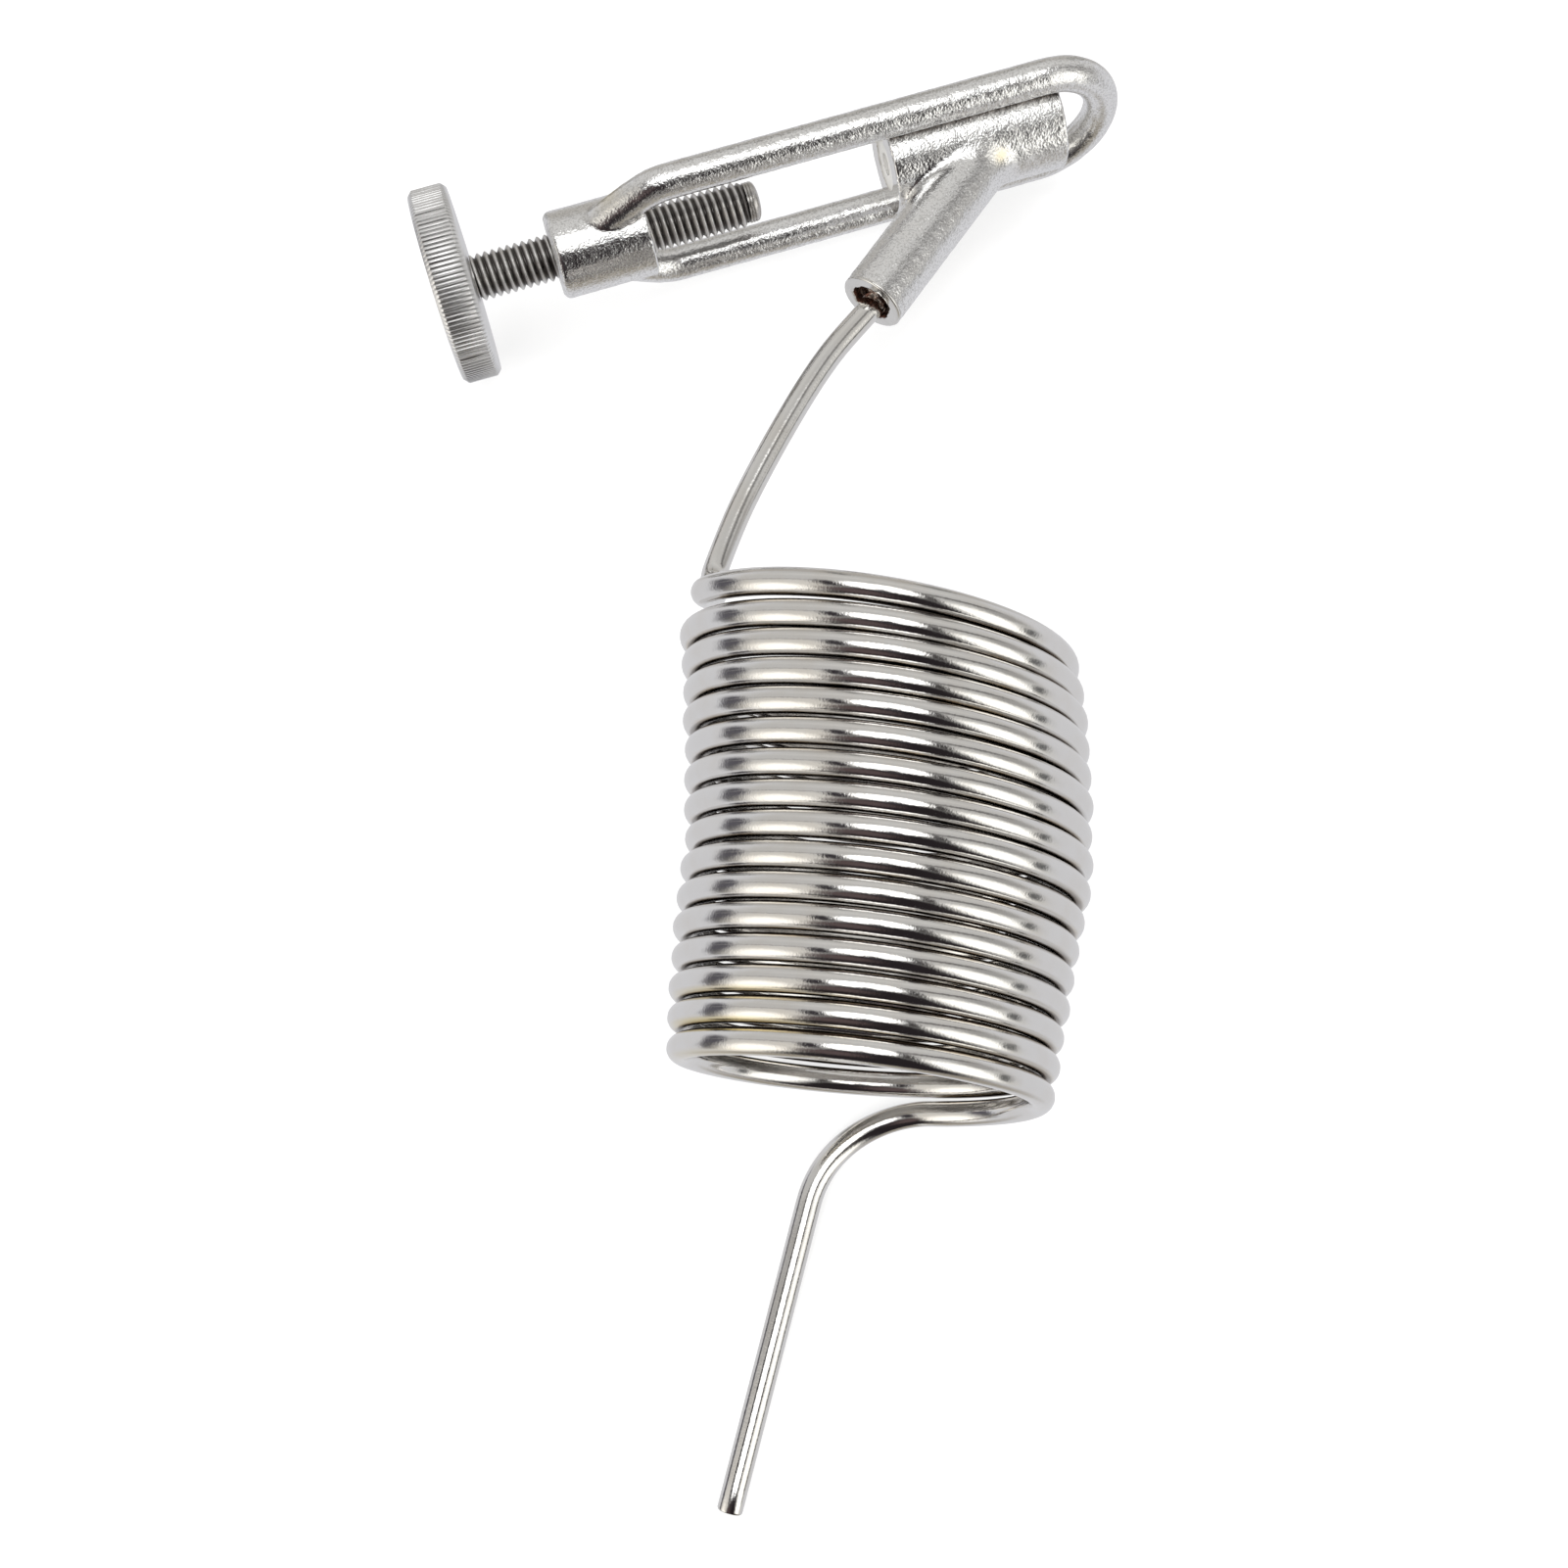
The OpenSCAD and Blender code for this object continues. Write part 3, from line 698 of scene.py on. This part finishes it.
def tube_path():
    """Centre line from inside the socket to the open end, and the coil angle at each point."""
    out = yoke_direction(BRANCH_OUT)
    mouth = from_yoke(np.array([BRANCH_MEET, 0, 0]) + BRANCH_LEN * BRANCH_OUT)
    offset = yoke_direction(np.array([0, 0, -TUBE_SINK]))
    start = coil_point(ENTER_ANGLE)
    start_dir = unit(coil_point(ENTER_ANGLE + 1) - coil_point(ENTER_ANGLE - 1))
    knots = [mouth - SOCKET_DEPTH * out + offset, mouth - out + offset]
    knots += [np.array(k) for k in INLET_ROUTE] + [start]
    pulls = []
    for i, k in enumerate(knots):
        if i == 0:
            pulls.append(knots[1] - k)
        elif i == len(knots) - 1:
            pulls.append(np.linalg.norm(k - knots[i - 1]) * start_dir)
        else:
            ahead, behind = np.linalg.norm(knots[i + 1] - k), np.linalg.norm(k - knots[i - 1])
            pulls.append((knots[i + 1] - knots[i - 1]) * ahead / (ahead + behind))
    parts, marks = [], []
    for i in range(len(knots) - 1):
        s = np.arange(0, 1, 1 / 10)
        parts.append(hermite(knots[i], knots[i + 1], pulls[i], pulls[i + 1], s))
        marks.append(np.full(len(s), ENTER_ANGLE))
    last = 360 * COIL_TURNS + LEAVE_ANGLE
    a = np.arange(ENTER_ANGLE, last - 2, 4.0)
    parts.append(coil_point(a))
    marks.append(a)
    end = coil_point(last)
    end_dir = unit(end - coil_point(last - 1))
    leg_dir = unit(LEG_TO - LEG_FROM)
    s = np.arange(0, 1, 1 / 24)
    parts.append(hermite(end, LEG_FROM, 3 * BEND_PULL[0] * end_dir, 3 * BEND_PULL[1] * leg_dir, s))
    marks.append(np.full(len(s), last))
    s = np.linspace(0, 1, 12)[:, None]
    parts.append(LEG_FROM + s * (LEG_TO - LEG_FROM))
    marks.append(np.full(12, last))
    return np.concatenate(parts), np.concatenate(marks)


def build_tube():
    sides = 32
    path, mark = tube_path()
    tangent = np.gradient(path, axis=0)
    tangent = unit(tangent)
    side = [unit(np.cross(tangent[0], np.array([0, 0, 1.0])))]
    for t in tangent[1:]:
        v = side[-1] - (side[-1] @ t) * t
        side.append(unit(v))
    side = np.array(side)
    other = np.cross(tangent, side)
    phase = 2 * math.pi * np.arange(sides) / sides
    radii = np.full(len(path), TUBE_R)

    def rings(centres, r, s, o):
        across = np.cos(phase)[None, :, None] * s[:, None, :] + np.sin(phase)[None, :, None] * o[:, None, :]
        return centres[:, None, :] + r[:, None, None] * across

    # outer wall, chamfered lip, and the bore back into the leg
    leg_dir = tangent[-1]
    lip = [(-0.55, TUBE_R), (-0.22, TUBE_R - 0.2), (-0.08, TUBE_R - 0.42), (-0.08, TUBE_BORE_R + 0.15),
           (-0.23, TUBE_BORE_R), (-30.0, TUBE_BORE_R)]
    centres = np.concatenate([path[:-1], np.array([LEG_TO + at * leg_dir for at, _ in lip])])
    radii = np.concatenate([radii[:-1], np.array([r for _, r in lip])])
    s = np.concatenate([side[:-1], np.repeat(side[-1:], len(lip), 0)])
    o = np.concatenate([other[:-1], np.repeat(other[-1:], len(lip), 0)])
    points = rings(centres, radii, s, o)
    n = len(centres)
    base = np.arange(n - 1)[:, None] * sides + np.arange(sides)[None, :]
    nxt = np.arange(n - 1)[:, None] * sides + (np.arange(sides)[None, :] + 1) % sides
    faces = np.stack([base, nxt, nxt + sides, base + sides], -1).reshape(-1, 4)
    slots = np.repeat((np.arange(n - 1) >= n - 2).astype(int), sides)
    closed = [tuple(range(sides - 1, -1, -1)), tuple((n - 1) * sides + k for k in range(sides))]
    faces = [tuple(f) for f in faces] + closed
    slots = np.concatenate([slots, [1, 1]])
    piece = add_mesh("coiled_tube", points.reshape(-1, 3), faces, [TUBE, TUBE_INSIDE], "yoke",
                     ["inlet_leg", "coil", "outlet_leg"], slots)
    # how far a point faces the next turn, and how old the lower turns look
    s_rad = math.radians(STACK_DIR)
    stack = np.array([math.sin(s_rad), -math.cos(s_rad), 0])
    outward = (points - centres[:, None, :]) / radii[:, None, None]
    facing = outward @ stack
    turn = np.concatenate([mark[:-1], np.full(len(lip), 0.0)]) / 360
    first, last = ENTER_ANGLE / 360, COIL_TURNS + LEAVE_ANGLE / 360
    on_coil = (turn > first + 0.03) & (turn < last - 0.02)
    has_next, has_last = on_coil & (turn < last - 1), on_coil & (turn > first + 1)
    beside = np.where(facing > 0, has_next[:, None], has_last[:, None])
    groove = np.clip((np.abs(facing) - 0.8) / 0.17, 0, 1) * beside
    old = np.clip((turn - 11.5) / 2.5, 0, 1) * 0.9
    point_attribute(piece, "groove", groove.reshape(-1))
    # painted shade: a near-black line where a turn touches its neighbour
    point_attribute(piece, "deep", (np.clip((np.abs(facing) - 0.9) / 0.06, 0, 1) * beside).reshape(-1))
    share = turn % 1
    gold = np.exp(-((share - 0.11) / 0.09) ** 2) * np.exp(-((turn - 14.0) / 1.1) ** 4)
    point_attribute(piece, "gold", (np.clip((facing - 0.45) / 0.3, 0, 1) * gold[:, None]).reshape(-1))
    point_attribute(piece, "old", np.repeat(old, sides))
    sharpen(piece, 40)


build_tube()


# ---------------------------------------------------------------- braze
def build_braze():
    """Filler pooled in the socket, climbing the tube in a wavy fillet."""
    rings, count = 10, 64
    origin = np.array([BRANCH_MEET, 0, 0]) + (BRANCH_LEN - SOCKET_DEPTH) * BRANCH_OUT
    right = np.cross(BRANCH_OUT, np.array([0, 0, 1.0]))
    up = np.array([0, 0, 1.0])
    angles = 2 * math.pi * np.arange(count) / count
    rows = []
    for i in range(rings + 1):
        t = i / rings
        # from the tube's skin (t = 0) to the socket's wall (t = 1)
        tube = np.stack([np.cos(angles) * (TUBE_R + 0.01), np.sin(angles) * (TUBE_R + 0.01) - TUBE_SINK], -1)
        wall = np.stack([np.cos(angles) * (SOCKET_R - 0.02), np.sin(angles) * (SOCKET_R - 0.02)], -1)
        flat_point = tube * (1 - t) + wall * t
        wave = 0.25 * np.sin(3 * angles + 0.7) + 0.18 * np.sin(7 * angles + 2.1)
        level = 7.9 + (1.7 + wave) * np.exp(-t / 0.16) + (0.5 + 0.4 * wave) * np.exp(-(1 - t) / 0.12)
        rows.append(origin + level[:, None] * BRANCH_OUT + flat_point[:, :1] * right + flat_point[:, 1:] * up)
    bottom = origin + 0.2 * BRANCH_OUT
    rows.append(bottom + wall[:, :1] * right + wall[:, 1:] * up)
    rows.append(bottom + tube[:, :1] * right + tube[:, 1:] * up)
    faces = []
    for i in range(len(rows)):
        j = (i + 1) % len(rows)
        for k in range(count):
            n = (k + 1) % count
            faces.append((i * count + k, j * count + k, j * count + n, i * count + n))
    add_mesh("braze_pool", from_yoke(np.concatenate(rows)), faces, [BRAZE], "yoke", ["braze_ring"])


build_braze()

# ---------------------------------------------------------------- CAD pieces that stay
for node, material in (("seat_washer", SEAL), ("wheel_pin", SCREW)):
    mesh = frame["nodes"][node].data
    mesh.materials.clear()
    mesh.materials.append(material)


# ---------------------------------------------------------------- camera
AZIMUTH, ELEVATION, DISTANCE = math.radians(-16.7), math.radians(79.7), 0.365
TARGET = np.array([-0.02905, -0.00665, 0.038])
BACK = np.array([math.sin(AZIMUTH) * math.cos(ELEVATION), -math.cos(AZIMUTH) * math.cos(ELEVATION),
                 math.sin(ELEVATION)])
RIGHT = np.array([math.cos(AZIMUTH), math.sin(AZIMUTH), 0.0])
UP = np.cross(BACK, RIGHT)

camera_data = bpy.data.cameras.new("camera")
camera_data.sensor_width = 36.0
camera_data.lens = 36.0 * 2000 / 1601
camera_data.clip_start = 0.01
camera = bpy.data.objects.new("camera", camera_data)
bpy.context.scene.collection.objects.link(camera)
basis = np.eye(4)
basis[:3, 0], basis[:3, 1], basis[:3, 2], basis[:3, 3] = RIGHT, UP, BACK, TARGET + DISTANCE * BACK
camera.matrix_world = mathutils.Matrix(basis.tolist())
bpy.context.scene.camera = camera
bpy.context.scene.view_settings.view_transform = "Standard"


# ---------------------------------------------------------------- floor
floor_mesh = bpy.data.meshes.new("floor")
floor_mesh.from_pydata([(-4, -4, 0), (4, -4, 0), (4, 4, 0), (-4, 4, 0)], [], [(0, 1, 2, 3)])
floor = bpy.data.objects.new("floor", floor_mesh)
bpy.context.scene.collection.objects.link(floor)
floor_shader = Shader("floor_paper", (0.26, 0.26, 0.26), 0.0, 0.9)
floor_shader.bsdf.inputs["Emission Color"].default_value = (1, 1, 1, 1)
floor_shader.bsdf.inputs["Emission Strength"].default_value = 0.75
floor_mesh.materials.append(floor_shader.material)
floor.visible_glossy = False


# ---------------------------------------------------------------- studio
# The lit and dark areas were placed where the photographed part's reflections show them, so
# this is not an even, plain light. They stay fixed round the part when the camera moves.
class Studio:
    """World of soft-edged lit and dark areas, placed by angle (side, up) in degrees round BACK."""

    def __init__(self, background):
        world = bpy.data.worlds.new("studio")
        bpy.context.scene.world = world
        world.use_nodes = True
        self.tree = world.node_tree
        self.tree.nodes.clear()
        self.colour = None
        coords = self.tree.nodes.new("ShaderNodeTexCoord").outputs["Generated"]
        x, y, z = (self.vector("DOT_PRODUCT", coords, tuple(v)) for v in (RIGHT, UP, BACK))
        angle = self.math("MULTIPLY", self.math("ARCCOSINE", z), 180 / math.pi)
        ring = self.math("MAXIMUM", self.math("SQRT", self.math("ADD", self.math("MULTIPLY", x, x),
                                                                 self.math("MULTIPLY", y, y))), 1e-4)
        self.side = self.math("DIVIDE", self.math("MULTIPLY", angle, x), ring)
        self.up = self.math("DIVIDE", self.math("MULTIPLY", angle, y), ring)
        rgb = self.tree.nodes.new("ShaderNodeRGB")
        rgb.outputs[0].default_value = (*background, 1)
        self.colour = rgb.outputs[0]

    def put(self, socket, value):
        if isinstance(value, bpy.types.NodeSocket):
            self.tree.links.new(value, socket)
        else:
            socket.default_value = value

    def math(self, kind, a, b=0.0, clamp=False):
        node = self.tree.nodes.new("ShaderNodeMath")
        node.operation = kind
        node.use_clamp = clamp
        self.put(node.inputs[0], a)
        self.put(node.inputs[1], b)
        return node.outputs[0]

    def vector(self, kind, a, b):
        node = self.tree.nodes.new("ShaderNodeVectorMath")
        node.operation = kind
        self.put(node.inputs[0], a)
        self.put(node.inputs[1], b)
        return node.outputs["Value"]

    def power_of(self, value, half, square):
        return self.math("POWER", self.math("ABSOLUTE", self.math("DIVIDE", value, half)), square)

    def blob(self, side, up, half_side, half_up, colour, soft=0.15, square=2.0, turn=0.0, lean=0.0):
        """An ellipse (square = 2) or a rounded box (square > 2) with a soft edge."""
        c, s = math.cos(math.radians(turn)), math.sin(math.radians(turn))
        du, dv = self.math("SUBTRACT", self.side, side), self.math("SUBTRACT", self.up, up)
        p = self.math("ADD", self.math("MULTIPLY", du, c), self.math("MULTIPLY", dv, s))
        q = self.math("SUBTRACT", self.math("MULTIPLY", dv, c), self.math("MULTIPLY", du, s))
        if lean:
            p = self.math("ADD", p, self.math("MULTIPLY", q, lean))
        e = self.math("ADD", self.power_of(p, half_side, square), self.power_of(q, half_up, square))
        e = self.math("POWER", e, 1 / square)
        ramp = self.tree.nodes.new("ShaderNodeMapRange")
        ramp.interpolation_type = "SMOOTHSTEP"
        self.put(ramp.inputs["Value"], e)
        for key, value in (("From Min", 1 + soft), ("From Max", 1 - soft), ("To Min", 0.0), ("To Max", 1.0)):
            ramp.inputs[key].default_value = value
        mix = self.tree.nodes.new("ShaderNodeMix")
        mix.data_type = "RGBA"
        self.put(mix.inputs[0], ramp.outputs["Result"])
        self.put(mix.inputs[6], self.colour)
        mix.inputs[7].default_value = (*colour, 1)
        self.colour = mix.outputs[2]

    def finish(self, seen):
        """The studio shows in reflections; the camera itself sees a plain pale backdrop."""
        tree = self.tree
        lit = tree.nodes.new("ShaderNodeBackground")
        self.put(lit.inputs["Color"], self.colour)
        plain = tree.nodes.new("ShaderNodeBackground")
        plain.inputs["Color"].default_value = (*seen, 1)
        path = tree.nodes.new("ShaderNodeLightPath")
        mix = tree.nodes.new("ShaderNodeMixShader")
        self.put(mix.inputs[0], path.outputs["Is Camera Ray"])
        tree.links.new(lit.outputs[0], mix.inputs[1])
        tree.links.new(plain.outputs[0], mix.inputs[2])
        output = tree.nodes.new("ShaderNodeOutputWorld")
        tree.links.new(mix.outputs[0], output.inputs["Surface"])


DARK = (0.022, 0.018, 0.02)
studio = Studio((0.69, 0.69, 0.71))                                      # pale paper all round
studio.blob(0, 0, 95, 95, (0.58, 0.57, 0.555), 0.12)                      # studio wall
studio.blob(0, 103, 90, 20, (0.47, 0.45, 0.42), 0.5, square=3)            # dimmer band high up
studio.blob(-78, 98, 12, 14, (0.25, 0.25, 0.24), 0.6, turn=30)
studio.blob(-10, 92, 5, 12, (0.25, 0.25, 0.24), 0.7)
studio.blob(42, 95, 9, 11, (0.25, 0.25, 0.24), 0.7, turn=-30)
studio.blob(0, 58, 60, 9, (0.66, 0.65, 0.63), 0.8)                        # paler strip
studio.blob(0, -104, 62, 20, (0.36, 0.33, 0.28), 0.5, square=2.5)         # dim room in front
studio.blob(-16, -108, 7, 14, (0.78, 0.77, 0.76), 0.4, square=3)          # pale gap in it
studio.blob(-97, 5, 10, 44, (0.11, 0.105, 0.12), 0.42, square=2.5)        # dark edge at the left
studio.blob(-90, -46, 8, 27, (0.12, 0.115, 0.12), 0.45, square=2.5, turn=18)
studio.blob(-60, -32, 27, 46, (0.74, 0.71, 0.66), 0.35, square=2.5)       # left softbox, glow and hot part
studio.blob(-61, -50, 16, 33, (1.45, 1.4, 1.3), 0.5, square=2.2, turn=12)
studio.blob(52, -36, 30, 40, (0.7, 0.69, 0.66), 0.3, square=2.4)          # right softbox
studio.blob(49, -36, 21, 32, (1.5, 1.48, 1.42), 0.38, square=2.6)
studio.blob(80, -32, 5, 28, (0.14, 0.14, 0.14), 0.6, square=2.2, turn=-22)  # dark edge at the right
studio.blob(72, 14, 16, 16, (0.4, 0.39, 0.38), 0.5)
studio.blob(47, 27, 27, 6.5, (0.2, 0.195, 0.19), 0.6, square=3, turn=13)  # dark bar above the right softbox
studio.blob(-60, 17, 30, 3.5, (0.42, 0.41, 0.4), 0.8, square=3, turn=-2)  # thin line at the left
studio.blob(-3, -50, 35, 42, DARK, 0.3, square=2.4)                       # dark figure
studio.blob(-3, -76, 44, 19, DARK, 0.4, square=2.6)
studio.blob(-22, -40, 15, 17, (0.11, 0.08, 0.08), 0.7)
studio.blob(-32, 2, 6.5, 19, (0.04, 0.035, 0.04), 0.5, square=2.4)        # gaps beside the top light
studio.blob(22, -2, 5, 22, (0.06, 0.055, 0.055), 0.6, square=2.4)
studio.blob(-3, 9, 21, 22, (1.9, 1.9, 1.88), 0.15, square=2.4)            # top light
studio.blob(-4, -15, 5, 12, (0.05, 0.045, 0.05), 0.6)                     # notch in its lower edge
studio.finish((0.93, 0.93, 0.93))


def area_light(name, at, aim, size, power):
    data = bpy.data.lights.new(name, "AREA")
    data.shape = "DISK"
    data.size = size
    data.energy = power
    light = bpy.data.objects.new(name, data)
    bpy.context.scene.collection.objects.link(light)
    light.location = at
    direction = mathutils.Vector(aim) - mathutils.Vector(at)
    light.rotation_euler = direction.to_track_quat("-Z", "Y").to_euler()
    light.visible_glossy = False
    return light


area_light("floor_fill_1", (0.5, 0.6, 1.0), (0, 0, 0), 0.9, 12)
area_light("floor_fill_2", (-0.6, -0.4, 1.0), (0, 0, 0), 0.9, 12)
